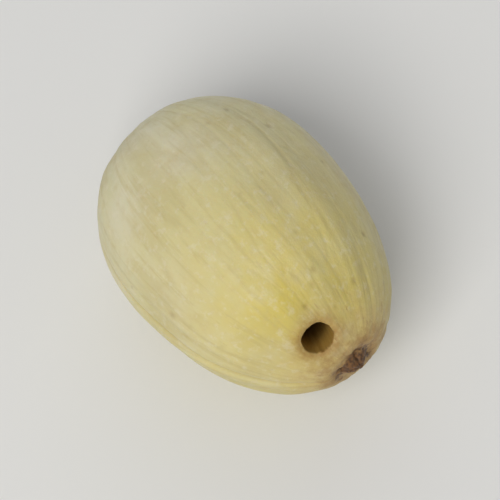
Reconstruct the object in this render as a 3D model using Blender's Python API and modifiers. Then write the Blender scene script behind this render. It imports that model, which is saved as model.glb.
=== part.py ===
"""A dried, peeled lotus seed: one kernel of two seed leaves grown together, its germ taken out.

The kernel lies on its side on a small flat spot. +X runs along it to the scarred tip, +Y across
it along the seam between the seed leaves, and +Z up. The origin is on the surface it rests on,
under the middle of the kernel. Lengths are in metres and angles in radians.
"""

import math

import bmesh
import bpy
from mathutils import Matrix, Vector

MM = 0.001
WELD = 0.001 * MM  # points closer than this are one

# Driving sizes of the kernel as it lies
LENGTH = 12.8 * MM
WIDTH = 9.4 * MM
HEIGHT = 9.0 * MM
REST_CUT = 0.14 * MM  # what the flat spot takes off the underside
REST_SNAP = 0.02 * MM  # points this near the flat spot's level are moved onto it
GRID = 24  # squares along each edge of the cube that is rounded into the kernel
TIP_DENSITY = 0.28  # draws the grid together towards the tip

# Outline: a rounded ovoid, blunt at the base and narrower towards the tip
MEAN_POWER = 2.2
POWER_CHANGE = 0.22
TAPER = 0.055

# Places on the surface are a polar angle from the tip and a roll from the top towards -Y
# Broad flats and hollows left by drying: polar angle, roll, reach and depth
HOLLOWS = (
    (math.radians(74), math.radians(-74), math.radians(32), 0.24 * MM),
    (math.radians(82), math.radians(104), math.radians(30), 0.09 * MM),
    (math.radians(118), math.radians(12), math.radians(26), 0.08 * MM),
    (math.radians(96), math.radians(-150), math.radians(32), 0.14 * MM),
    (math.radians(52), math.radians(168), math.radians(24), 0.11 * MM),
    (math.radians(140), math.radians(-48), math.radians(22), 0.10 * MM),
)

# Low wrinkles that run from end to end
WRINKLES = 13
WRINKLE_HEIGHT = 0.05 * MM
WRINKLE_SWAY = 1.2
WRINKLE_SWAY_WAVES = 2
WRINKLE_FADE = 1.5  # how fast they die away at both ends
SWELL_MEAN, SWELL_CHANGE = 0.65, 0.35  # shares of the height, which varies
SWELL_WAVES = (3, 2)  # how often the height varies round and along the kernel

# Seam between the two seed leaves, at mid height all round
SEAM_DEPTH = 0.09 * MM
SEAM_HALF_WIDTH = 0.26 * MM
SEAM_WANDER = 0.22 * MM
SEAM_WAVES = (2.3, 1.4)  # how fast the seam wanders along and across the kernel
SEAM_WAVE_START = 0.5
SEAM_PULL = (0.8, 0.5)  # how far its wandering reaches towards the tip and up the sides
NOTCH_DEPTH = 0.30 * MM  # the seam is deeper and wider round the base end
NOTCH_HALF_WIDTH = 0.62 * MM
NOTCH_REACH = math.radians(38)

# Scar at the tip: a sunken ring round a low cracked stub
SCAR_RING_RADIUS = 0.78 * MM
SCAR_RING_WIDTH = 0.40 * MM
SCAR_RING_DEPTH = 0.20 * MM
STUB_RADIUS = 0.50 * MM
STUB_HEIGHT = 0.10 * MM
CRACKS = 4
CRACK_TURN = 0.6
CRACK_REACH = 0.5 * MM
CRACK_DEPTH = 0.12 * MM
SEAM_FADE_FROM = 1.2 * MM
SEAM_FADE_TO = 2.4 * MM

# Round hole that the germ was pushed out through
HOLE_DIAMETER = 1.25 * MM
HOLE_MOUTH_DIAMETER = 1.5 * MM
HOLE_MOUTH_DEPTH = 0.16 * MM
HOLE_LENGTH = 3.7 * MM
HOLE_CLEAR = 1.0 * MM  # how far the cutter stands out of the surface
HOLE_POLAR = math.radians(34)
HOLE_ROLL = math.radians(26.6)
HOLE_SIDES = 28

# Space that the germ left, along the middle of the kernel
GERM_CENTRE_X = -0.3 * MM
GERM_HALF_SIZE = (4.2 * MM, 0.95 * MM, 0.6 * MM)
GERM_HOLE_MEETS_X = 3.1 * MM
GERM_SEGMENTS, GERM_RINGS = 20, 12

# Gap where the seed leaves have parted at the base
CLEFT_HALF_SIZE = (3.0 * MM, 3.9 * MM, 0.31 * MM)
CLEFT_SIDEWAYS = 0.5 * MM
CLEFT_WAVE = 0.16 * MM
CLEFT_WAVE_TURN = 2.1
CLEFT_WAVE_START = 0.3
CLEFT_SEGMENTS, CLEFT_RINGS = 40, 10

KERNEL_COLOUR = (0.61, 0.53, 0.29, 1.0)
KERNEL_ROUGHNESS = 0.58


def clear_scene():
    """Removes whatever objects the file holds."""
    for thing in list(bpy.data.objects):
        bpy.data.objects.remove(thing, do_unlink=True)


def new_collection(name):
    """An empty collection of that name in the scene."""
    made = bpy.data.collections.new(name)
    bpy.context.scene.collection.children.link(made)
    return made


def new_object(name, bm, collection):
    """Turns a bmesh into an object of that name in the collection."""
    mesh = bpy.data.meshes.new(name)
    bm.to_mesh(mesh)
    bm.free()
    made = bpy.data.objects.new(name, mesh)
    collection.objects.link(made)
    return made


def bump(distance, width):
    """1 at no distance, falling smoothly towards 0 past the width."""
    return math.exp(-((distance / width) ** 2))


def smooth_step(value, low, high):
    """0 up to the low value, rising smoothly to 1 at the high one."""
    share = min(1.0, max(0.0, (value - low) / (high - low)))
    return share * share * (3 - 2 * share)


def direction(polar, roll):
    """The unit vector at a polar angle from the tip and a roll from the top towards -Y."""
    ring = math.sin(polar)
    return Vector((math.cos(polar), -ring * math.sin(roll), ring * math.cos(roll)))


def ovoid(way):
    """The plain kernel's surface in the direction way, for half sizes of 1."""
    power = MEAN_POWER - POWER_CHANGE * way.x
    ring = math.hypot(way.y, way.z)
    out = (abs(way.x) ** power + ring**power) ** (-1 / power)
    narrowing = 1 - TAPER * out * way.x
    return Vector((out * way.x, out * way.y * narrowing, out * way.z * narrowing))


def hollows(way):
    """Depth of the broad flats and hollows."""
    return sum(
        depth * bump(way.angle(direction(polar, roll)), reach)
        for polar, roll, reach, depth in HOLLOWS
    )


def wrinkles(polar, roll):
    """Height of the lengthwise wrinkles, which die away at both ends."""
    phase = WRINKLES * roll + WRINKLE_SWAY * math.sin(WRINKLE_SWAY_WAVES * polar + roll)
    swell = SWELL_MEAN + SWELL_CHANGE * math.sin(SWELL_WAVES[0] * roll + SWELL_WAVES[1] * polar)
    return WRINKLE_HEIGHT * math.sin(polar) ** WRINKLE_FADE * swell * math.sin(phase)


def scar_distance(way):
    """How far a place near the tip is from the middle of the scar."""
    ring = math.hypot(way.y, way.z)
    return ring * WIDTH / 2 if way.x > 0 else WIDTH


def seam(way):
    """Depth of the seam, with its notch round the base end."""
    off_plane = way.z * HEIGHT / 2
    groove = SEAM_DEPTH * bump(off_plane, SEAM_HALF_WIDTH)
    groove *= smooth_step(scar_distance(way), SEAM_FADE_FROM, SEAM_FADE_TO)
    from_base = way.angle(Vector((-1, 0, 0)))
    notch = NOTCH_DEPTH * bump(off_plane, NOTCH_HALF_WIDTH) * bump(from_base, NOTCH_REACH)
    return groove + notch


def scar(way, roll):
    """Height of the tip scar: its stub, less the sunken ring and the cracks."""
    distance = scar_distance(way)
    ring = SCAR_RING_DEPTH * bump(distance - SCAR_RING_RADIUS, SCAR_RING_WIDTH)
    stub = STUB_HEIGHT * bump(distance, STUB_RADIUS)
    crack = max(0.0, math.cos(CRACKS * roll + CRACK_TURN)) ** 2
    return stub - ring - CRACK_DEPTH * crack * bump(distance - STUB_RADIUS, CRACK_REACH)


def seam_wander(way):
    """How far the seam strays up or down from mid height."""
    stray = math.sin(SEAM_WAVES[0] * way.x + SEAM_WAVES[1] * way.y + SEAM_WAVE_START)
    return SEAM_WANDER * stray * bump(max(0.0, way.x), SEAM_PULL[0]) * bump(way.z, SEAM_PULL[1])


def kernel_point(way):
    """The surface point in the direction way, round the kernel's middle."""
    half = Vector((LENGTH / 2, WIDTH / 2, (HEIGHT + REST_CUT) / 2))
    plain = ovoid(way) * half
    outward = Vector(plain[i] / half[i] ** 2 for i in range(3)).normalized()
    polar = math.acos(max(-1.0, min(1.0, way.x)))
    roll = math.atan2(-way.y, way.z)
    height = wrinkles(polar, roll) + scar(way, roll) - hollows(way) - seam(way)
    return plain + outward * height + Vector((0, 0, seam_wander(way)))


def ball(grid):
    """A unit ball from a cube's six faces, each split into a square grid, finer at the tip."""
    bm = bmesh.new()
    bmesh.ops.create_cube(bm, size=2.0)
    bmesh.ops.subdivide_edges(bm, edges=bm.edges[:], cuts=grid - 1, use_grid_fill=True)
    for vert in bm.verts:
        way = Vector(math.tan(c * math.pi / 4) for c in vert.co).normalized()
        forward = (way.x + TIP_DENSITY) / (1 + TIP_DENSITY * way.x)
        ring = math.sqrt(max(0.0, 1 - forward**2))
        side = Vector((0, way.y, way.z)).normalized()
        vert.co = Vector((forward, ring * side.y, ring * side.z))
    return bm


def fit_to_size(bm):
    """Stretches the mesh to the driving sizes, and centres it."""
    size = (LENGTH, WIDTH, HEIGHT + REST_CUT)
    for axis in range(3):
        values = [vert.co[axis] for vert in bm.verts]
        low, high = min(values), max(values)
        for vert in bm.verts:
            vert.co[axis] = (vert.co[axis] - (low + high) / 2) * size[axis] / (high - low)


def cut_rest_spot(bm):
    """Planes the underside to a small flat spot."""
    level = Vector((0, 0, REST_CUT - (HEIGHT + REST_CUT) / 2))
    everything = bm.verts[:] + bm.edges[:] + bm.faces[:]
    cut = bmesh.ops.bisect_plane(
        bm, geom=everything, dist=REST_SNAP, plane_co=level, plane_no=(0, 0, -1), clear_outer=True
    )
    rim = [part for part in cut["geom_cut"] if isinstance(part, bmesh.types.BMEdge)]
    bmesh.ops.contextual_create(bm, geom=rim)
    for vert in bm.verts:
        if vert.co.z < level.z + REST_SNAP:
            vert.co.z = level.z


def to_world():
    """From the kernel's middle to the origin under it."""
    return Matrix.Translation((0, 0, HEIGHT - (HEIGHT + REST_CUT) / 2))


def make_kernel(collection):
    """The whole kernel, before the hole, the gap and the germ's space are cut."""
    bm = ball(GRID)
    for vert in bm.verts:
        vert.co = kernel_point(vert.co.copy())
    fit_to_size(bm)
    cut_rest_spot(bm)
    bmesh.ops.transform(bm, matrix=to_world(), verts=bm.verts)
    bmesh.ops.recalc_face_normals(bm, faces=bm.faces)
    kernel = new_object("lotus_seed", bm, collection)
    kernel.data.shade_smooth()
    kernel.data.materials.append(kernel_material())
    return kernel


def kernel_material():
    """Dry, matt, cream-coloured seed flesh."""
    material = bpy.data.materials.new("dry_seed_flesh")
    material.use_nodes = True
    shader = material.node_tree.nodes["Principled BSDF"]
    shader.inputs["Base Color"].default_value = KERNEL_COLOUR
    shader.inputs["Roughness"].default_value = KERNEL_ROUGHNESS
    shader.inputs["Metallic"].default_value = 0.0
    return material


def turned(name, profile, sides, collection):
    """A closed solid from (radius, height) points, turned round its own Z axis."""
    bm = bmesh.new()
    verts = [bm.verts.new((radius, 0, height)) for radius, height in profile]
    for pair in zip(verts, verts[1:]):
        bm.edges.new(pair)
    made = new_object(name, bm, collection)
    screw = made.modifiers.new("turn", "SCREW")
    screw.axis = "Z"
    screw.steps = sides
    screw.render_steps = sides
    screw.use_merge_vertices = True
    screw.merge_threshold = WELD
    return made


def hole_cutter(collection):
    """A turned rod with a flared mouth, from outside the surface into the germ's space."""
    mouth = kernel_point(direction(HOLE_POLAR, HOLE_ROLL))
    inner = Vector((GERM_HOLE_MEETS_X, 0, 0))
    outward = (mouth - inner).normalized()
    bore, flare = HOLE_DIAMETER / 2, HOLE_MOUTH_DIAMETER / 2
    grow = (flare - bore) / HOLE_MOUTH_DEPTH
    profile = (
        (0, HOLE_CLEAR),
        (bore + grow * (HOLE_MOUTH_DEPTH + HOLE_CLEAR), HOLE_CLEAR),
        (bore, -HOLE_MOUTH_DEPTH),
        (bore, -HOLE_LENGTH),
        (0, -HOLE_LENGTH),
    )
    cutter = turned("hole_cutter", profile, HOLE_SIDES, collection)
    cutter.location = to_world() @ mouth
    cutter.rotation_euler = outward.to_track_quat("Z", "Y").to_euler()
    return cutter


def ellipsoid(centre, half_size, segments, rings):
    """A sphere stretched to the half size, round the centre."""
    bm = bmesh.new()
    bmesh.ops.create_uvsphere(bm, u_segments=segments, v_segments=rings, radius=1.0)
    place = Matrix.Translation(centre) @ Matrix.Diagonal((*half_size, 1.0))
    bmesh.ops.transform(bm, matrix=place, verts=bm.verts)
    return bm


def germ_cutter(collection):
    """The spindle-shaped space that the germ filled."""
    centre = Vector((GERM_CENTRE_X, 0, 0))
    bm = ellipsoid(centre, GERM_HALF_SIZE, GERM_SEGMENTS, GERM_RINGS)
    bmesh.ops.transform(bm, matrix=to_world(), verts=bm.verts)
    return new_object("germ_cutter", bm, collection)


def cleft_cutter(collection):
    """A thin wavy lens at the base end, in the seam."""
    centre = Vector((-LENGTH / 2, CLEFT_SIDEWAYS, 0))
    bm = ellipsoid(centre, CLEFT_HALF_SIZE, CLEFT_SEGMENTS, CLEFT_RINGS)
    for vert in bm.verts:
        along = vert.co.y / CLEFT_HALF_SIZE[1]
        vert.co.z += CLEFT_WAVE * math.sin(CLEFT_WAVE_TURN * along + CLEFT_WAVE_START)
    bmesh.ops.transform(bm, matrix=to_world(), verts=bm.verts)
    return new_object("cleft_cutter", bm, collection)


def cut(kernel, cutter):
    """Takes the cutter's shape out of the kernel."""
    cutter.hide_render = True
    cutter.display_type = "WIRE"
    modifier = kernel.modifiers.new("cut_" + cutter.name, "BOOLEAN")
    modifier.operation = "DIFFERENCE"
    modifier.solver = "EXACT"
    modifier.object = cutter


def build():
    """Makes the kernel and cuts it."""
    clear_scene()
    parts = new_collection("lotus_seed")
    cutters = new_collection("cutters")
    kernel = make_kernel(parts)
    for make_cutter in (germ_cutter, cleft_cutter, hole_cutter):
        cut(kernel, make_cutter(cutters))


build()
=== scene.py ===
"""The looks of a dried, peeled lotus seed: its fine surface, colours, floor, light and camera.

The kernel is remade from the solid's own forms on a far finer grid, with the ribs, creases, pores,
torn scar and stains of dry seed flesh. Lengths are in metres and angles in radians.
"""

import math

import bmesh
import bpy
import numpy as np
from mathutils import Matrix, Vector, noise


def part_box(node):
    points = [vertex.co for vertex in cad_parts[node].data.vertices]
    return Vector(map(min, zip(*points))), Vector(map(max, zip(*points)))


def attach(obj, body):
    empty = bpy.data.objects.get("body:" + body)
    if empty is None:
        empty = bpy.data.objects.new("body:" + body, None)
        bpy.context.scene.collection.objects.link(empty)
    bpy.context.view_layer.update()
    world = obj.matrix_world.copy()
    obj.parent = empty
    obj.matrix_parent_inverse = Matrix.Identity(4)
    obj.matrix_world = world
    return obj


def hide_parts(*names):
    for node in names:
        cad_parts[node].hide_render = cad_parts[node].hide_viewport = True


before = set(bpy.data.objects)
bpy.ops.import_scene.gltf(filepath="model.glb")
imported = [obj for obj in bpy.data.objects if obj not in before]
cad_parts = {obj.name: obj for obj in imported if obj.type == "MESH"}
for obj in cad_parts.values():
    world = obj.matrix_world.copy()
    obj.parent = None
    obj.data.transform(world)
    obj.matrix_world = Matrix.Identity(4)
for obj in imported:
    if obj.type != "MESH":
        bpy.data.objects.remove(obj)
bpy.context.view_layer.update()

MM = 0.001
TINY = 1e-9  # keeps a division off zero
LOW, HIGH = (np.array(corner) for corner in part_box("lotus_seed"))
LENGTH, WIDTH, HEIGHT = HIGH - LOW
REST_CUT = 0.14 * MM  # what the flat spot takes off the underside
REST_EDGE = 0.012 * MM  # how softly the flat spot meets the round of the kernel

# Grid: squares along each edge of the cube that is rounded into the kernel, and where they crowd
GRID = 128
TIP_DENSITY = 0.28
SEAM_DENSITY, SEAM_DENSITY_REACH = 0.45, 0.22
HOLE_DENSITY, HOLE_DENSITY_REACH = 0.42, math.radians(16)

# Outline: a rounded ovoid, blunt at the base and narrower towards the tip
MEAN_POWER = 2.2
POWER_CHANGE = 0.22
TAPER = 0.055

# Places on the surface are a polar angle from the tip and a roll from the top towards -Y
# Broad flats and hollows left by drying: polar angle, roll, reach and depth
HOLLOWS = (
    (math.radians(74), math.radians(-74), math.radians(32), 0.24 * MM),
    (math.radians(82), math.radians(104), math.radians(30), 0.09 * MM),
    (math.radians(118), math.radians(12), math.radians(26), 0.08 * MM),
    (math.radians(96), math.radians(-150), math.radians(32), 0.14 * MM),
    (math.radians(52), math.radians(168), math.radians(24), 0.11 * MM),
    (math.radians(140), math.radians(-48), math.radians(22), 0.10 * MM),
)

# Low wrinkles that run from end to end and fade there
WRINKLES = 13
WRINKLE_HEIGHT = 0.05 * MM
WRINKLE_SWAY = 1.2
WRINKLE_SWAY_WAVES = 2
WRINKLE_FADE = 1.5
SWELL_MEAN, SWELL_CHANGE = 0.65, 0.35
SWELL_WAVES = (3, 2)  # round the kernel and along it

# Finer ribs and sharp creases between them: features round and along, and height or depth
RIB_LAYERS = ((7.0, 1.1, 0.024 * MM), (16.0, 2.0, 0.012 * MM), (38.0, 4.5, 0.005 * MM))
RIB_FADE = 0.6
CREASE_LAYERS = ((4.0, 0.9, 0.020 * MM), (9.0, 1.3, 0.012 * MM))
CREASE_SHARE = 0.16  # share of the swell's height within which a crease runs

# Lumps and grain of the dry flesh: size of the feature and its height
LUMP_LAYERS = ((2.6 * MM, 0.040 * MM), (0.9 * MM, 0.012 * MM), (0.32 * MM, 0.005 * MM))

# Seam between the two seed leaves, at mid height all round
SEAM_DEPTH = 0.09 * MM
SEAM_HALF_WIDTH = 0.26 * MM
SEAM_WANDER = 0.22 * MM
SEAM_WAVES = (2.3, 1.4)
SEAM_WAVE_START = 0.5
SEAM_PULL = (0.8, 0.5)
SEAM_CREASE_DEPTH = 0.05 * MM  # a fine crease along the bottom of the seam
SEAM_CREASE_WIDTH = 0.07 * MM
SEAM_FADE_FROM = 1.2 * MM
SEAM_FADE_TO = 2.4 * MM
NOTCH_DEPTH = 0.30 * MM
NOTCH_HALF_WIDTH = 0.62 * MM
NOTCH_REACH = math.radians(38)

# Scar at the tip: a sunken ring round a low cracked stub, and its torn fibres
SCAR_RING_RADIUS = 0.78 * MM
SCAR_RING_WIDTH = 0.40 * MM
SCAR_RING_DEPTH = 0.20 * MM
STUB_RADIUS = 0.50 * MM
STUB_HEIGHT = 0.10 * MM
CRACKS = 4
CRACK_TURN = 0.6
CRACK_REACH = 0.5 * MM
CRACK_DEPTH = 0.12 * MM
SCAR_FIBRE_DEPTH = 0.055 * MM
SCAR_FIBRE_LAYERS = ((0.34 * MM, 1.0), (0.17 * MM, 0.8), (0.09 * MM, 0.45))
SCAR_FIBRE_SINK = 0.9  # keeps the torn fibres below the stub
SCAR_FIBRE_REACH = 1.1 * MM
SCAR_FIBRE_LEAST = 0.01  # the strength below which no fibre is worked out

# Round hole that the germ was pushed out through
HOLE_RADIUS = 0.625 * MM
HOLE_DEPTH = 3.3 * MM
HOLE_FLOOR = 0.34  # share of the radius that becomes the hole's floor
HOLE_FALL = 1.5  # how steeply the tube's points crowd towards the rim
HOLE_POLAR = math.radians(34)
HOLE_ROLL = math.radians(26.6)
HOLE_INNER_X = 3.1 * MM
HOLE_NARROWS = 0.08  # share of its radius that the hole loses by its floor
HOLE_NEAR, HOLE_BEHIND = 3, 2  # how many radii round the hole and behind its mouth are worked
RIM_RAGGED = 0.05
RIM_WAVES = 2.2
RIM_NICK_WAVES, RIM_NICK_SHARE = 3, 0.5  # finer waves on top of the rim's own
RIM_SHIFT, RIM_NICK_SHIFT = 5.0, 1.0
RIM_SNAP = 0.028 * MM  # how near the rim a point must be to be set on it
RIM_SINK = 0.05 * MM
RIM_WIDTH = 0.11 * MM
LIP_AT, LIP_WIDTH, LIP_HEIGHT = 0.24 * MM, 0.16 * MM, 0.025 * MM
STAIN_REACH = 0.42 * MM  # how far the brown of the hole spreads over the surface

# Gap where the seed leaves have parted at the base
CLEFT_HALF_SIZE = (3.0 * MM, 3.9 * MM, 0.31 * MM)
CLEFT_SIDEWAYS = 0.5 * MM
CLEFT_WAVE = 0.16 * MM
CLEFT_WAVE_TURN = 2.1
CLEFT_WAVE_START = 0.3
CLEFT_RAGGED, CLEFT_RAGGED_SIZE = 0.05 * MM, 0.8 * MM
CLEFT_SWELL = 0.35
CLEFT_SHIFT, UPPER_LIP_SHIFT, LOWER_LIP_SHIFT = 7.0, 3.0, 12.0
CLEFT_NEAR = 3  # how many half gaps above and below it are worked
CLEFT_LEAST = 0.01 * MM  # the narrowest half gap that is opened
CLEFT_FALL = 1.2  # how steeply the gap's points crowd towards its lips
CLEFT_SNAP = 0.03 * MM  # how near the lip a point must be to be set on it
CLEFT_LIP_SINK = 0.10 * MM
CLEFT_LIP_WIDTH = 0.12 * MM

# Small marks, drawn by a seeded generator. Each pair is the smallest and the largest
MARKS_SEED = 11
PITS = 60
PIT_SIZES_MM = (0.05, 0.15)
PIT_DEPTH_SHARES = (0.15, 0.4)  # of the pit's size
PIT_DARK_SHARES = (0.1, 1.0)
PIT_DARKEST = 0.55
PIT_NEAR = 0.12  # how far round a pit its points are looked for, on a ball of radius 1
SCRAPES = 16
SCRAPE_LENGTHS_MM = (0.5, 1.6)
SCRAPE_WIDTHS_MM = (0.035, 0.07)
SCRAPE_DEPTHS_MM = (0.008, 0.02)
SCRAPE_BEND, SCRAPE_BEND_WAVES = 0.08 * MM, 2.5
SCRAPE_NEAR = 0.5  # the same for a scrape

# Yellowing: a spot above the hole, and the whole tip half, between two shares of the half length
WARM_POLAR = math.radians(52)
WARM_ROLL = math.radians(16)
WARM_REACH = math.radians(36)
WARM_FROM, WARM_TO = -1.0, 0.75
WARM_SPOT_SHARE = 0.48
RELIEF_UNIT = 0.03 * MM  # the height or depth that counts as 1 for the colours

# Camera: the kernel's tip points down to the right and leans towards the lens
CAMERA_AZIMUTH = math.radians(50.3)
CAMERA_ELEVATION = math.radians(63.6)
CAMERA_LENS = 250.0  # in millimetres, long enough to flatten the view
CAMERA_CLIP = (0.001, 10.0)
FRAME_HEIGHT = 19.0 * MM  # what the picture takes in at the kernel

# Lights: azimuth from the camera's, elevation, distance, size, watts and colour
LIGHTS = {
    "key": (math.radians(-24), math.radians(48), 0.40, 0.22, 1.05, (1.0, 0.985, 0.95)),
    "fill": (math.radians(185), math.radians(24), 0.45, 0.45, 0.42, (1.0, 0.99, 0.97)),
}
SKY_COLOUR = (0.97, 0.98, 1.0, 1.0)
SKY_STRENGTH = 0.33

FLOOR_HALF_SIZE = 4.0
FLOOR_SQUARES = 4
FLOOR_DROP = 0.02 * MM
FLOOR_COLOUR = (0.80, 0.80, 0.79, 1.0)
FLOOR_ROUGHNESS = 0.9


def bump(distance, width):
    """1 at no distance, falling smoothly towards 0 past the width."""
    return np.exp(-((distance / width) ** 2))


def smooth_step(value, low, high):
    """0 up to the low value, rising smoothly to 1 at the high one."""
    share = np.clip((value - low) / (high - low), 0.0, 1.0)
    return share * share * (3 - 2 * share)


def unit(vectors):
    """The vectors at a length of 1."""
    return vectors / np.linalg.norm(vectors, axis=-1, keepdims=True)


def direction(polar, roll):
    """The unit vector at a polar angle from the tip and a roll from the top towards -Y."""
    ring = math.sin(polar)
    return np.array((math.cos(polar), -ring * math.sin(roll), ring * math.cos(roll)))


def angle_from(ways, way):
    """The angle between each direction and one other."""
    return np.arccos(np.clip(ways @ way, -1.0, 1.0))


def noise_at(places, shift=0.0):
    """Smooth noise from -1 to 1, with features about 1 across. The shift picks another stretch of it."""
    return np.array([noise.noise(place) for place in (places + shift).tolist()])


# The kernel's form


def ovoid(ways):
    """The plain kernel's surface in each direction, for half sizes of 1."""
    power = MEAN_POWER - POWER_CHANGE * ways[:, 0]
    ring = np.hypot(ways[:, 1], ways[:, 2])
    out = (np.abs(ways[:, 0]) ** power + ring**power) ** (-1 / power)
    narrowing = 1 - TAPER * out * ways[:, 0]
    return np.stack([out * ways[:, 0], out * ways[:, 1] * narrowing, out * ways[:, 2] * narrowing], 1)


def hollows(ways):
    """Depth of the broad flats and hollows."""
    return sum(
        depth * bump(angle_from(ways, direction(polar, roll)), reach)
        for polar, roll, reach, depth in HOLLOWS
    )


def wrinkles(polar, roll):
    """Height of the lengthwise wrinkles, which die away at both ends."""
    phase = WRINKLES * roll + WRINKLE_SWAY * np.sin(WRINKLE_SWAY_WAVES * polar + roll)
    swell = SWELL_MEAN + SWELL_CHANGE * np.sin(SWELL_WAVES[0] * roll + SWELL_WAVES[1] * polar)
    return WRINKLE_HEIGHT * np.sin(polar) ** WRINKLE_FADE * swell * np.sin(phase)


def meridians(polar, roll):
    """Coordinates whose noise runs from end to end of the kernel, with no break round it."""
    return np.stack([np.cos(roll), np.sin(roll), polar], 1)


def ribs(polar, roll):
    """Height of the fine lengthwise ribs and of the sharper creases between them."""
    lines = meridians(polar, roll)
    height = 0
    for around, along, size in RIB_LAYERS:
        height = height + size * noise_at(lines * (around, around, along), around)
    for around, along, size in CREASE_LAYERS:
        swell = noise_at(lines * (around, around, along), 2 * around)
        height = height - size * np.maximum(0.0, 1 - np.abs(swell) / CREASE_SHARE) ** 2
    return height * np.sin(polar) ** RIB_FADE


def lumps(points):
    """Height of the lumps and the grain of the flesh."""
    return sum(height * noise_at(points / size, height / MM) for size, height in LUMP_LAYERS)


def scar_distance(ways):
    """How far each place near the tip is from the middle of the scar."""
    return np.where(ways[:, 0] > 0, np.hypot(ways[:, 1], ways[:, 2]) * WIDTH / 2, WIDTH)


def seam(ways):
    """Depth of the seam, with its crease and its notch round the base end."""
    off_plane = ways[:, 2] * HEIGHT / 2
    fade = smooth_step(scar_distance(ways), SEAM_FADE_FROM, SEAM_FADE_TO)
    groove = SEAM_DEPTH * bump(off_plane, SEAM_HALF_WIDTH)
    crease = SEAM_CREASE_DEPTH * bump(off_plane, SEAM_CREASE_WIDTH)
    from_base = angle_from(ways, np.array((-1.0, 0.0, 0.0)))
    notch = NOTCH_DEPTH * bump(off_plane, NOTCH_HALF_WIDTH) * bump(from_base, NOTCH_REACH)
    return (groove + crease) * fade + notch


def scar(ways, roll):
    """Height of the tip scar: its stub, less the sunken ring, the cracks and torn fibres."""
    distance = scar_distance(ways)
    ring = SCAR_RING_DEPTH * bump(distance - SCAR_RING_RADIUS, SCAR_RING_WIDTH)
    stub = STUB_HEIGHT * bump(distance, STUB_RADIUS)
    crack = np.maximum(0.0, np.cos(CRACKS * roll + CRACK_TURN)) ** 2
    cracks = CRACK_DEPTH * crack * bump(distance - STUB_RADIUS, CRACK_REACH)
    near = bump(distance, SCAR_FIBRE_REACH)
    fibres = np.zeros(len(ways))
    close = near > SCAR_FIBRE_LEAST
    for size, share in SCAR_FIBRE_LAYERS:
        fibres[close] += share * noise_at(ways[close] * WIDTH / 2 / size, size / MM)
    return stub - ring - cracks + SCAR_FIBRE_DEPTH * near * (fibres - SCAR_FIBRE_SINK)


def seam_wander(ways):
    """How far the seam strays up or down from mid height."""
    stray = np.sin(SEAM_WAVES[0] * ways[:, 0] + SEAM_WAVES[1] * ways[:, 1] + SEAM_WAVE_START)
    reach = bump(np.maximum(0.0, ways[:, 0]), SEAM_PULL[0]) * bump(ways[:, 2], SEAM_PULL[1])
    return SEAM_WANDER * stray * reach


def angles_of(ways):
    """The polar angle from the tip and the roll from the top towards -Y of each direction."""
    return np.arccos(np.clip(ways[:, 0], -1.0, 1.0)), np.arctan2(-ways[:, 1], ways[:, 2])


def kernel_points(ways, fine=True):
    """The surface point, the way out of the surface and the small relief in each direction."""
    half = np.array((LENGTH / 2, WIDTH / 2, (HEIGHT + REST_CUT) / 2))
    plain = ovoid(ways) * half
    outward = unit(plain / half**2)
    polar, roll = angles_of(ways)
    height = wrinkles(polar, roll) + scar(ways, roll) - hollows(ways) - seam(ways)
    small = ribs(polar, roll) + lumps(plain) if fine else 0 * polar
    points = plain + outward * (height + small)[:, None]
    points[:, 2] += seam_wander(ways)
    return points, outward, small


def crowd(ways):
    """Draws the grid together towards the tip, the seam and the round hole."""
    forward = (ways[:, 0] + TIP_DENSITY) / (1 + TIP_DENSITY * ways[:, 0])
    ring = np.sqrt(np.maximum(0.0, 1 - forward**2))
    side = ways[:, 1:] / np.maximum(np.hypot(ways[:, 1], ways[:, 2]), TINY)[:, None]
    crowded = np.column_stack([forward, side * ring[:, None]])
    crowded[:, 2] *= 1 - SEAM_DENSITY * bump(crowded[:, 2], SEAM_DENSITY_REACH)
    crowded = unit(crowded)
    hole = direction(HOLE_POLAR, HOLE_ROLL)
    angle = angle_from(crowded, hole)
    away = crowded - np.cos(angle)[:, None] * hole
    away /= np.maximum(np.linalg.norm(away, axis=1), TINY)[:, None]
    nearer = angle * (1 - HOLE_DENSITY * bump(angle, HOLE_DENSITY_REACH))
    return unit(hole * np.cos(nearer)[:, None] + away * np.sin(nearer)[:, None])


# The hole, the gap and the small marks


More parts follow.
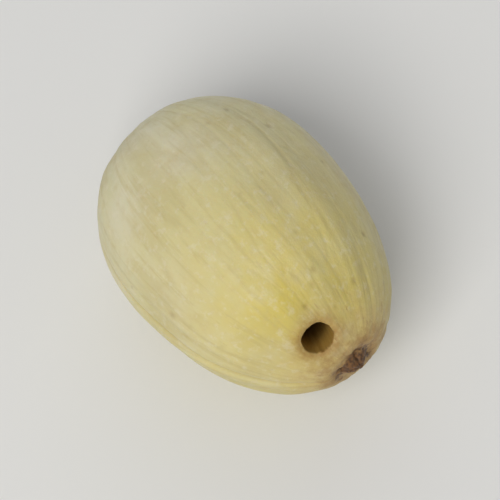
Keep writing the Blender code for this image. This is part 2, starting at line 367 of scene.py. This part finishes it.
def sink_hole(points):
    """Draws the surface inside the round hole's rim down into a tube. Returns how deep and how stained."""
    mouth = kernel_points(direction(HOLE_POLAR, HOLE_ROLL)[None], fine=False)[0][0]
    axis = unit(mouth - np.array((HOLE_INNER_X, 0, 0)))
    across = unit(np.cross(axis, (1.0, 0.0, 0.0)))
    other = np.cross(axis, across)
    offset = points - mouth
    up = offset @ axis
    flat = offset - up[:, None] * axis
    radius = np.linalg.norm(flat, axis=1)
    near = (radius < HOLE_NEAR * HOLE_RADIUS) & (up > -HOLE_BEHIND * HOLE_RADIUS)

    turn = np.arctan2(flat @ other, flat @ across)
    rim_places = np.stack([np.cos(turn), np.sin(turn), 0 * turn], 1)[near] * RIM_WAVES
    nicks = RIM_NICK_SHARE * noise_at(rim_places * RIM_NICK_WAVES, RIM_NICK_SHIFT)
    rim_at = np.full(len(points), HOLE_RADIUS)
    rim_at[near] *= 1 + RIM_RAGGED * (noise_at(rim_places, RIM_SHIFT) + nicks)
    on_edge = near & (np.abs(radius - rim_at) < RIM_SNAP)
    flat[on_edge] *= (rim_at / np.maximum(radius, TINY))[on_edge, None]
    radius = np.where(on_edge, rim_at, radius)
    rim = np.where(near, bump(np.maximum(0.0, radius - rim_at), RIM_WIDTH), 0.0)
    lip = np.where(near, bump(radius - rim_at - LIP_AT, LIP_WIDTH), 0.0)
    up = up + LIP_HEIGHT * lip - RIM_SINK * rim

    inside = near & (radius < rim_at)
    share = radius / rim_at
    fall = np.clip((1 - share) / (1 - HOLE_FLOOR), 0.0, 1.0)
    depth = np.where(inside, fall**HOLE_FALL, 0.0)
    wall = rim_at * np.where(share < HOLE_FLOOR, share / HOLE_FLOOR, 1.0) * (1 - HOLE_NARROWS * fall)
    stretch = np.where(inside, wall / np.maximum(radius, TINY), 1.0)
    moved = mouth + flat * stretch[:, None] + axis * (up - HOLE_DEPTH * depth)[:, None]
    stain = np.where(near, bump(np.maximum(0.0, radius - rim_at), STAIN_REACH), 0.0)
    return np.where(near[:, None], moved, points), depth, stain


def part_cleft(points):
    """Opens the gap between the seed leaves at the base. Returns how deep each point lies in it."""
    long_half, side_half, thick_half = CLEFT_HALF_SIZE
    x = points[:, 0] + LENGTH / 2
    y = (points[:, 1] - CLEFT_SIDEWAYS) / side_half
    near = (points[:, 0] < 0) & (np.abs(points[:, 2]) < CLEFT_NEAR * thick_half)
    stray, swell = np.zeros(len(points)), np.ones(len(points))
    places = points[near] * (0.0, 1.0, 0.0) / CLEFT_RAGGED_SIZE
    stray[near] = CLEFT_RAGGED * noise_at(places, CLEFT_SHIFT)
    lip_shift = np.where(points[near, 2] > 0, UPPER_LIP_SHIFT, LOWER_LIP_SHIFT)[:, None]
    swell[near] += CLEFT_SWELL * noise_at(places + lip_shift)

    wave = CLEFT_WAVE_TURN * points[:, 1] / side_half + CLEFT_WAVE_START
    middle = CLEFT_WAVE * np.sin(wave) + stray
    off = points[:, 2] - middle
    room = 1 - (x / long_half) ** 2 - y**2
    half_gap = thick_half * swell * np.sqrt(np.maximum(room, 0.0))
    open_here = near & (half_gap > CLEFT_LEAST)
    on_edge = open_here & (np.abs(np.abs(off) - half_gap) < CLEFT_SNAP)
    off = np.where(on_edge, np.sign(off) * half_gap, off)
    lip = np.where(open_here, bump(np.maximum(0.0, np.abs(off) - half_gap), CLEFT_LIP_WIDTH), 0.0)

    inside = open_here & (np.abs(off) < half_gap)
    share = np.where(inside, np.abs(off) / np.maximum(half_gap, TINY), 1.0)
    inner = long_half * np.sqrt(np.maximum(1 - y**2, 0.0))
    depth = np.where(inside, (1 - share) ** CLEFT_FALL, 0.0)
    new_x = x + CLEFT_LIP_SINK * lip
    new_x += (inner - new_x) * depth
    thick = thick_half * swell * np.sqrt(np.maximum(1 - (new_x / long_half) ** 2 - y**2, 0.0))
    height = middle + np.where(inside, np.sign(off) * thick, off)
    return np.stack([new_x - LENGTH / 2, points[:, 1], height], 1), depth


def small_marks(ways, points):
    """Pores and scrapes from drying and peeling. Returns the height and how dark each place is."""
    draw = np.random.default_rng(MARKS_SEED)
    height = np.zeros(len(points))
    dark = np.zeros(len(points))
    for _ in range(PITS):
        place = unit(draw.normal(size=3))
        size = draw.uniform(*PIT_SIZES_MM) * MM
        depth = size * draw.uniform(*PIT_DEPTH_SHARES)
        colour = PIT_DARKEST * draw.uniform(*PIT_DARK_SHARES) ** 2
        near = np.linalg.norm(ways - place, axis=1) < PIT_NEAR
        middle = points[near][np.argmax(ways[near] @ place)]
        here = bump(np.linalg.norm(points[near] - middle, axis=1), size)
        height[near] -= depth * here
        dark[near] = np.maximum(dark[near], colour * here)
    for _ in range(SCRAPES):
        place = unit(draw.normal(size=3))
        heading = unit(np.cross(place, draw.normal(size=3)))
        length = draw.uniform(*SCRAPE_LENGTHS_MM) * MM
        width = draw.uniform(*SCRAPE_WIDTHS_MM) * MM
        depth = draw.uniform(*SCRAPE_DEPTHS_MM) * MM
        near = np.linalg.norm(ways - place, axis=1) < SCRAPE_NEAR
        middle = points[near][np.argmax(ways[near] @ place)]
        offset = points[near] - middle
        along = offset @ heading
        off = np.linalg.norm(np.cross(offset, heading), axis=1)
        bend = SCRAPE_BEND * np.sin(along / length * SCRAPE_BEND_WAVES)
        height[near] -= depth * bump(along, length / 2) * bump(off - np.abs(bend), width)
    return height, dark


def fit_to_solid(points):
    """Stretches the points to the solid's box, with the flat spot at its foot."""
    size = np.array((LENGTH, WIDTH, HEIGHT + REST_CUT))
    low, high = points.min(0), points.max(0)
    points = (points - (low + high) / 2) * size / (high - low)
    above = points[:, 2] + size[2] / 2 - REST_CUT
    points[:, 2] = REST_EDGE * np.logaddexp(0.0, above / REST_EDGE)
    middle = (LOW + HIGH) / 2
    points[:, :2] += middle[:2]
    points[:, 2] = LOW[2] + points[:, 2] * HEIGHT / points[:, 2].max()
    return points


def fine_cube():
    """A cube whose six faces are each split into a square grid."""
    bm = bmesh.new()
    bmesh.ops.create_cube(bm, size=2.0)
    bmesh.ops.subdivide_edges(bm, edges=bm.edges[:], cuts=GRID - 1, use_grid_fill=True)
    mesh = bpy.data.meshes.new("kernel")
    bm.to_mesh(mesh)
    bm.free()
    return mesh


def set_attribute(mesh, name, values):
    """Stores a number or a vector for each point, for the material to read."""
    kind, field = ("FLOAT_VECTOR", "vector") if values.ndim == 2 else ("FLOAT", "value")
    made = mesh.attributes.new(name, kind, "POINT")
    made.data.foreach_set(field, values.astype(np.float32).ravel())


def make_kernel():
    """The kernel's finished mesh, with what its material reads at each point."""
    mesh = fine_cube()
    corners = np.empty(len(mesh.vertices) * 3, np.float32)
    mesh.vertices.foreach_get("co", corners)
    ways = crowd(unit(np.tan(corners.reshape(-1, 3).astype(float) * math.pi / 4)))
    points, outward, small = kernel_points(ways)
    marks, dark = small_marks(ways, points)
    plain = points + outward * marks[:, None]
    points, hole_depth, hole_stain = sink_hole(plain)
    points, cleft_depth = part_cleft(points)
    points = fit_to_solid(points)
    mesh.vertices.foreach_set("co", points.astype(np.float32).ravel())
    mesh.update()

    warm_spot = bump(angle_from(ways, direction(WARM_POLAR, WARM_ROLL)), WARM_REACH)
    warm_end = smooth_step(ways[:, 0], WARM_FROM, WARM_TO)
    attributes = {
        "meridian": meridians(*angles_of(ways)),
        "surface_place": plain / MM,
        "scar_distance": scar_distance(ways) / MM,
        "hole_depth": hole_depth,
        "hole_stain": hole_stain,
        "cleft_depth": cleft_depth,
        "seam_off": np.abs(ways[:, 2]) * HEIGHT / 2 / MM,
        "relief": small / RELIEF_UNIT,
        "speck": dark,
        "warm": WARM_SPOT_SHARE * warm_spot + (1 - WARM_SPOT_SHARE) * warm_end,
    }
    for name, values in attributes.items():
        set_attribute(mesh, name, values)
    mesh.shade_smooth()
    kernel = bpy.data.objects.new("kernel", mesh)
    bpy.context.scene.collection.objects.link(kernel)
    return kernel


# Materials


class Shader:
    """A material's nodes, made and joined in short calls."""

    def __init__(self, name):
        self.material = bpy.data.materials.new(name)
        self.material.use_nodes = True
        self.tree = self.material.node_tree
        self.surface = self.tree.nodes["Principled BSDF"]

    def node(self, kind, inputs=(), **settings):
        """A new node with its settings and inputs."""
        made = self.tree.nodes.new(kind)
        for name, value in settings.items():
            setattr(made, name, value)
        for name, value in dict(inputs).items():
            self.put(made.inputs[name], value)
        return made

    def put(self, socket, value):
        """Links the socket to another, or sets its value."""
        if isinstance(value, bpy.types.NodeSocket):
            self.tree.links.new(value, socket)
        else:
            socket.default_value = value

    def attribute(self, name, output="Fac"):
        """What the mesh stores under that name."""
        return self.node("ShaderNodeAttribute", attribute_name=name).outputs[output]

    def maths(self, operation, *values):
        return self.node("ShaderNodeMath", enumerate(values), operation=operation).outputs[0]

    def noise(self, place, scale, detail, roughness):
        inputs = {"Vector": place, "Scale": scale, "Detail": detail, "Roughness": roughness}
        return self.node("ShaderNodeTexNoise", inputs).outputs["Fac"]

    def stretched_noise(self, place, stretch, detail, roughness):
        """Noise that is finer one way than another."""
        inputs = {0: place, 1: stretch}
        stretched = self.node("ShaderNodeVectorMath", inputs, operation="MULTIPLY").outputs[0]
        return self.noise(stretched, 1.0, detail, roughness)

    def ramp(self, value, low, high, first=0.0, last=1.0):
        """The first number up to the low value, passing smoothly to the last at the high one."""
        inputs = {"Value": value, "From Min": low, "From Max": high, "To Min": first, "To Max": last}
        return self.node("ShaderNodeMapRange", inputs, interpolation_type="SMOOTHSTEP").outputs[0]

    def mix(self, share, first, second):
        inputs = {"Factor": share, 6: first, 7: second}
        return self.node("ShaderNodeMix", inputs, data_type="RGBA").outputs[2]

    def layers(self, tint, *shares_and_colours):
        """Lays each colour over the tint by its share."""
        for share, colour in shares_and_colours:
            tint = self.mix(share, tint, colour)
        return tint


def from_screen(red, green, blue):
    """A linear colour from its value on the screen, from 0 to 255."""
    shares = [value / 255 for value in (red, green, blue)]
    linear = [((s + 0.055) / 1.055) ** 2.4 if s > 0.04045 else s / 12.92 for s in shares]
    return (*linear, 1.0)


CREAM = from_screen(209, 203, 164)
PALE = from_screen(214, 209, 183)
YELLOW = from_screen(209, 190, 88)
TAN = from_screen(201, 184, 133)
VEIN = from_screen(181, 164, 104)
# Tan round the tip: partly the tip's own stain, partly painted shadow from neighbouring seeds that lay
# against it
TIP_STAIN_AND_SHADOW = from_screen(186, 152, 92)
STAIN = from_screen(156, 116, 60)
SCAR_BROWN = from_screen(118, 80, 42)
SCAR_DARK = from_screen(66, 42, 24)
HOLE_BROWN = from_screen(182, 146, 72)
# Painted shade: darkens the hole the deeper it goes, over the brown of its walls
HOLE_SHADE = from_screen(112, 82, 34)
SPECK_BROWN = from_screen(128, 92, 50)
COAT_BROWN = from_screen(148, 98, 60)
BLOOM = from_screen(225, 218, 197)

# Noise over the surface: features to a millimetre, detail and roughness
PALE_CLOUDS = (0.28, 2.0, 0.5)
YELLOW_PATCHES = (0.45, 3.0, 0.6)
MOTTLE = (1.7, 5.0, 0.62)
FLECKS = (7.0, 3.0, 0.6)
BLOOM_SPOTS = (3.1, 4.0, 0.65)
STAIN_EDGE = (1.6, 4.0, 0.7)
GRAIN = (9.0, 5.0, 0.65)

# Noise that runs from end to end: its fineness round (twice) and along, detail and roughness
STREAKS = ((13.0, 13.0, 1.6), 4.0, 0.6)
COAT_SHREDS = ((20.0, 20.0, 7.0), 3.0, 0.6)

# How much of a colour shows: the two values that it changes between, and its share at each of them,
# which is 0 and 1 where none is given
PALE_SHOWS = (0.35, 0.68)
YELLOW_SHOWS = (0.25, 0.6, 0.55, 1.0)
MOTTLE_SHOWS = (0.48, 0.72, 0.0, 0.35)
STREAK_SHOWS = (0.52, 0.66, 0.0, 0.28)
# Painted shade: the vein colour darkens the lows of the ribs and creases
HOLLOW_SHADE_SHOWS = (-0.9, 0.1, 0.26, 0.0)
FLECK_SHOWS = (0.60, 0.75, 0.0, 0.22)
BLOOM_SHOWS = (0.50, 0.72, 0.0, 0.30)
SPECK_SHARE = 0.75
SHRED_SHOWS = (0.64, 0.72)
SCAR_BROWN_SHOWS = (0.38, 0.62)
HOLE_STAIN_SHOWS = (0.35, 0.65, 0.80, 0.45)
HOLE_BROWN_SHOWS = (0.0, 0.12)
HOLE_SHADE_SHOWS = (0.15, 0.7)
# The gap's inner faces: partly their own tan, partly painted shade that grows the deeper in
CLEFT_TAN_AND_SHADE_SHOWS = (0.0, 0.8, 0.0, 0.75)

# The same by the distance from the seam or from the middle of the scar, in millimetres
CREASE_SHOWS = (0.02, 0.16, 0.45, 0.0)
SHRED_REACH = (1.2, 4.7, 0.7, 0.08)
# The tip's tan share is raised partly as painted shadow from neighbouring seeds
TIP_STAIN_AND_SHADOW_SHOWS = (1.4, 3.6, 0.48, 0.0)
STAIN_SHOWS = (1.0, 2.2, 0.75, 0.0)
SCAR_SHOWS = (0.60, 1.15, 0.95, 0.0)
STAIN_STRAY = (0.2, 0.8, -0.55, 0.55)  # how far the noise moves the stains' edges

# Sheen, grain and the light that passes a little way through the flesh
MATTNESS = (0.3, 0.7, 0.42, 0.60)
STREAK_GRAIN_SHARE = 0.5
GRAIN_STRENGTH = 0.7
GRAIN_HEIGHT = 0.022 * MM
GLOSS = 0.4
SEE_THROUGH_SHARE = 0.18
SEE_THROUGH_RADIUS = (1.0, 0.62, 0.30)
SEE_THROUGH_SCALE = 0.5 * MM


def tip_colour(s, tint, place, lines, flecks):
    """Lays the coat's last shreds, the brown of the scar and a tan that is partly stain and partly painted
    shadow over the tip.
    """
    distance = s.attribute("scar_distance")
    shreds = s.ramp(s.stretched_noise(lines, *COAT_SHREDS), *SHRED_SHOWS)
    stray = s.ramp(s.noise(place, *STAIN_EDGE), *STAIN_STRAY)
    ragged = s.maths("ADD", distance, stray)
    scar_tint = s.mix(s.ramp(flecks, *SCAR_BROWN_SHOWS), SCAR_DARK, SCAR_BROWN)
    return s.layers(
        tint,
        (s.maths("MULTIPLY", shreds, s.ramp(distance, *SHRED_REACH)), COAT_BROWN),
        # partly stain, partly painted shadow from neighbouring seeds
        (s.ramp(ragged, *TIP_STAIN_AND_SHADOW_SHOWS), TIP_STAIN_AND_SHADOW),
        (s.ramp(ragged, *STAIN_SHOWS), STAIN),
        (s.ramp(ragged, *SCAR_SHOWS), scar_tint),
    )


def dry_flesh():
    """Matt, slightly see-through seed flesh: cream, yellower round the hole, stained at the tip, with
    painted shade deep in the hole, in the gap and in the creases, and painted shadow at the tip.
    """
    s = Shader("dry_seed_flesh")
    place = s.attribute("surface_place", "Vector")
    lines = s.attribute("meridian", "Vector")
    mottle = s.noise(place, *MOTTLE)
    streaks = s.stretched_noise(lines, *STREAKS)
    flecks = s.noise(place, *FLECKS)
    bloom = s.noise(place, *BLOOM_SPOTS)
    patches = s.ramp(s.noise(place, *YELLOW_PATCHES), *YELLOW_SHOWS)
    hole_depth = s.attribute("hole_depth")

    tint = s.mix(s.ramp(s.noise(place, *PALE_CLOUDS), *PALE_SHOWS), CREAM, PALE)
    tint = s.layers(
        tint,
        (s.maths("MULTIPLY", s.attribute("warm"), patches), YELLOW),
        (s.ramp(mottle, *MOTTLE_SHOWS), TAN),
        (s.ramp(streaks, *STREAK_SHOWS), VEIN),
        # painted shade in the lows of the ribs and creases
        (s.ramp(s.attribute("relief"), *HOLLOW_SHADE_SHOWS), VEIN),
        (s.ramp(s.attribute("seam_off"), *CREASE_SHOWS), VEIN),
        (s.ramp(flecks, *FLECK_SHOWS), TAN),
        (s.ramp(bloom, *BLOOM_SHOWS), BLOOM),
        (s.maths("MULTIPLY", s.attribute("speck"), SPECK_SHARE), SPECK_BROWN),
    )
    tint = tip_colour(s, tint, place, lines, flecks)
    hole_stain = s.maths("MULTIPLY", s.attribute("hole_stain"), s.ramp(bloom, *HOLE_STAIN_SHOWS))
    tint = s.layers(
        tint,
        (hole_stain, STAIN),
        (s.ramp(hole_depth, *HOLE_BROWN_SHOWS), HOLE_BROWN),
        # painted shade deep in the hole
        (s.ramp(hole_depth, *HOLE_SHADE_SHOWS), HOLE_SHADE),
        # partly the gap's own tan, partly painted shade deeper in
        (s.ramp(s.attribute("cleft_depth"), *CLEFT_TAN_AND_SHADE_SHOWS), VEIN),
    )
    s.put(s.surface.inputs["Base Color"], tint)

    s.put(s.surface.inputs["Roughness"], s.ramp(mottle, *MATTNESS))
    grain = s.maths("ADD", s.noise(place, *GRAIN), s.maths("MULTIPLY", streaks, STREAK_GRAIN_SHARE))
    raised = {"Strength": GRAIN_STRENGTH, "Distance": GRAIN_HEIGHT, "Height": grain}
    s.put(s.surface.inputs["Normal"], s.node("ShaderNodeBump", raised).outputs[0])
    s.surface.inputs["Specular IOR Level"].default_value = GLOSS
    s.surface.inputs["Subsurface Weight"].default_value = SEE_THROUGH_SHARE
    s.surface.inputs["Subsurface Radius"].default_value = SEE_THROUGH_RADIUS
    s.surface.inputs["Subsurface Scale"].default_value = SEE_THROUGH_SCALE
    return s.material


def floor_paper():
    """Plain pale paper under the kernel."""
    s = Shader("pale_floor")
    s.surface.inputs["Base Color"].default_value = FLOOR_COLOUR
    s.surface.inputs["Roughness"].default_value = FLOOR_ROUGHNESS
    return s.material


# Floor, light and camera


def make_floor():
    """A wide sheet just under the kernel's flat spot."""
    bm = bmesh.new()
    drop = Matrix.Translation((0, 0, LOW[2] - FLOOR_DROP))
    squares = {"x_segments": FLOOR_SQUARES, "y_segments": FLOOR_SQUARES}
    bmesh.ops.create_grid(bm, size=FLOOR_HALF_SIZE, matrix=drop, **squares)
    mesh = bpy.data.meshes.new("floor")
    bm.to_mesh(mesh)
    bm.free()
    floor = bpy.data.objects.new("floor", mesh)
    floor.data.materials.append(floor_paper())
    bpy.context.scene.collection.objects.link(floor)


def set_facing(data, azimuth, elevation, distance, target):
    """Puts a camera or light at a distance from the target, facing it."""
    level = math.cos(elevation)
    way = Vector((math.sin(azimuth) * level, -math.cos(azimuth) * level, math.sin(elevation)))
    made = bpy.data.objects.new(data.name, data)
    made.location = target + way * distance
    made.rotation_euler = (-way).to_track_quat("-Z", "Y").to_euler()
    bpy.context.scene.collection.objects.link(made)
    return made


def make_camera():
    """A long lens at the photograph's viewing angle."""
    data = bpy.data.cameras.new("camera")
    data.lens = CAMERA_LENS
    data.clip_start, data.clip_end = CAMERA_CLIP
    distance = FRAME_HEIGHT * CAMERA_LENS / data.sensor_width
    middle = Vector((LOW + HIGH) / 2)
    camera = set_facing(data, CAMERA_AZIMUTH, CAMERA_ELEVATION, distance, middle)
    bpy.context.scene.camera = camera


def make_light():
    """Two soft square lights and an even sky."""
    for name, (turn, elevation, distance, size, watts, colour) in LIGHTS.items():
        data = bpy.data.lights.new(name, "AREA")
        data.size = size
        data.energy = watts
        data.color = colour
        set_facing(data, CAMERA_AZIMUTH + turn, elevation, distance, Vector())
    sky = bpy.data.worlds.new("studio")
    sky.use_nodes = True
    sky.node_tree.nodes["Background"].inputs["Color"].default_value = SKY_COLOUR
    sky.node_tree.nodes["Background"].inputs["Strength"].default_value = SKY_STRENGTH
    bpy.context.scene.world = sky
    bpy.context.scene.view_settings.view_transform = "Standard"


def dress_kernel():
    """Stands the finished kernel in for the plain solid."""
    kernel = make_kernel()
    kernel.data.materials.append(dry_flesh())
    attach(kernel, "root")
    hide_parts("lotus_seed")


make_camera()
make_floor()
make_light()
dress_kernel()
